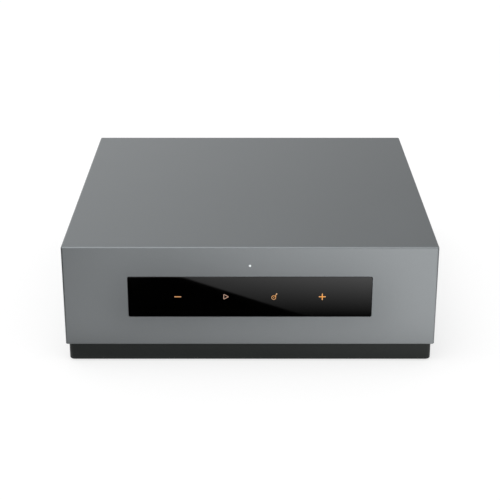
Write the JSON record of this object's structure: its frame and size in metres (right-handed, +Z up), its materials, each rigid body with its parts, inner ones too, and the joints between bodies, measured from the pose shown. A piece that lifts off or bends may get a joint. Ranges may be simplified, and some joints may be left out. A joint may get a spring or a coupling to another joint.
{
  "type": "streaming amplifier",
  "caption": "Square network audio amplifier with a metal shell over a dark plinth, a touch strip in front, and loudspeaker terminals and signal sockets behind.",
  "frame": {"origin": "on the surface it stands on, under the middle of the square shell", "axes": "+X to the right seen from the front, +Y to the rear, +Z up; the touch strip faces -Y"},
  "size_m": [0.19, 0.207, 0.0635],
  "materials": {
    "anodised_shell": "bead-blasted and anodised grey",
    "black_glass": "back-printed black, polished",
    "adhesive": "foam adhesive",
    "black_abs": "fine spark-eroded grain",
    "inner_black_plastic": "moulded",
    "clear_pipe": "clear",
    "foot_rubber": "matt",
    "green_board": "solder mask",
    "zinc_screws": "zinc plated",
    "black_screws": "black zinc",
    "panel_steel": "powder coated",
    "gloss_black_plastic": "moulded",
    "red_plastic": "moulded",
    "white_plastic": "moulded",
    "gold_plate": "gold flash over nickel",
    "brass": "turned",
    "socket_steel": "tin plated",
    "heatsink_aluminium": "extruded",
    "ferrite": "sintered",
    "capacitor_sleeve": "sleeved cans",
    "polyimide": "flat ribbon",
    "lead_insulation": "insulated wire"
  },
  "bodies": {
    "case": {"antennas": "polyimide", "base_tray": "black_abs", "board_screws": "zinc_screws", "capacitors": "capacitor_sleeve", "case_screws": "black_screws", "front_glass": "black_glass", "glass_tape": "adhesive", "hdmi_insert": "gloss_black_plastic", "hdmi_shell": "socket_steel", "heatsink": "heatsink_aluminium", "icon_light_mask": "inner_black_plastic", "line_in_insulator_left": "white_plastic", "line_in_insulator_right": "red_plastic", "main_board": "green_board", "mains_inlet_housing": "gloss_black_plastic", "mains_inlet_pins": "brass", "mains_leads": "lead_insulation", "network_contacts": "gold_plate", "network_insert": "gloss_black_plastic", "network_shield": "socket_steel", "optical_housing": "gloss_black_plastic", "output_chokes": "ferrite", "phono_barrels": "gold_plate", "phono_housings": "inner_black_plastic", "phono_screws": "black_screws", "power_board": "green_board", "power_transformer": "ferrite", "rear_panel": "panel_steel", "rear_panel_screws": "black_screws", "reset_switch": "inner_black_plastic", "rubber_feet": "foot_rubber", "speaker_leads": "lead_insulation", "status_light_pipe": "clear_pipe", "sub_out_insulator": "gloss_black_plastic", "supply_leads": "lead_insulation", "terminal_back_nuts": "brass", "terminal_block": "gloss_black_plastic", "terminal_posts": "gold_plate", "thermal_pad": "adhesive", "top_shell": "anodised_shell", "touch_board": "green_board", "touch_board_screws": "zinc_screws", "touch_ribbon": "polyimide", "usb_insert": "gloss_black_plastic", "usb_shell": "socket_steel", "wireless_module": "socket_steel"},
    "washer_right_negative": {"terminal_washer_right_negative": "brass"},
    "cap_right_negative": {"terminal_cap_right_negative": "gloss_black_plastic", "terminal_nut_right_negative": "brass"},
    "washer_right_positive": {"terminal_washer_right_positive": "brass"},
    "cap_right_positive": {"terminal_cap_right_positive": "red_plastic", "terminal_nut_right_positive": "brass"},
    "washer_left_negative": {"terminal_washer_left_negative": "brass"},
    "cap_left_negative": {"terminal_cap_left_negative": "gloss_black_plastic", "terminal_nut_left_negative": "brass"},
    "washer_left_positive": {"terminal_washer_left_positive": "brass"},
    "cap_left_positive": {"terminal_cap_left_positive": "red_plastic", "terminal_nut_left_positive": "brass"},
    "shutter": {"optical_shutter": "inner_black_plastic"},
    "reset": {"reset_button": "gloss_black_plastic"}
  },
  "joints": [
    {"name": "travel_right_negative", "type": "slide", "parent": "case", "child": "washer_right_negative", "axis": [0, 1, 0], "range_m": [0, 0.005]},
    {"name": "turn_right_negative", "type": "hinge", "parent": "washer_right_negative", "child": "cap_right_negative", "pos_m": [0.04852, 0.098, 0.02567], "axis": [0, 1, 0], "range_deg": [0, 1800]},
    {"name": "travel_right_positive", "type": "slide", "parent": "case", "child": "washer_right_positive", "axis": [0, 1, 0], "range_m": [0, 0.005]},
    {"name": "turn_right_positive", "type": "hinge", "parent": "washer_right_positive", "child": "cap_right_positive", "pos_m": [0.04852, 0.098, 0.04473], "axis": [0, 1, 0], "range_deg": [0, 1800]},
    {"name": "travel_left_negative", "type": "slide", "parent": "case", "child": "washer_left_negative", "axis": [0, 1, 0], "range_m": [0, 0.005]},
    {"name": "turn_left_negative", "type": "hinge", "parent": "washer_left_negative", "child": "cap_left_negative", "pos_m": [0.02948, 0.098, 0.02567], "axis": [0, 1, 0], "range_deg": [0, 1800]},
    {"name": "travel_left_positive", "type": "slide", "parent": "case", "child": "washer_left_positive", "axis": [0, 1, 0], "range_m": [0, 0.005]},
    {"name": "turn_left_positive", "type": "hinge", "parent": "washer_left_positive", "child": "cap_left_positive", "pos_m": [0.02948, 0.098, 0.04473], "axis": [0, 1, 0], "range_deg": [0, 1800]},
    {"name": "shutter_swing", "type": "hinge", "parent": "case", "child": "shutter", "pos_m": [-0.017, 0.08925, 0.03245], "axis": [-1, 0, 0], "range_deg": [0, 85], "stiffness_Nm_per_rad": 0.00002, "springref_deg": -20.05},
    {"name": "reset_press", "type": "slide", "parent": "case", "child": "reset", "axis": [0, -1, 0], "range_m": [0, 0.0003], "stiffness_N_per_m": 1000, "springref_m": -0.0002}
  ],
  "couplings": [
    {"joint": "turn_right_negative", "follows": "travel_right_negative", "rad_per_m": 6283.2},
    {"joint": "turn_right_positive", "follows": "travel_right_positive", "rad_per_m": 6283.2},
    {"joint": "turn_left_negative", "follows": "travel_left_negative", "rad_per_m": 6283.2},
    {"joint": "turn_left_positive", "follows": "travel_left_positive", "rad_per_m": 6283.2}
  ]
}
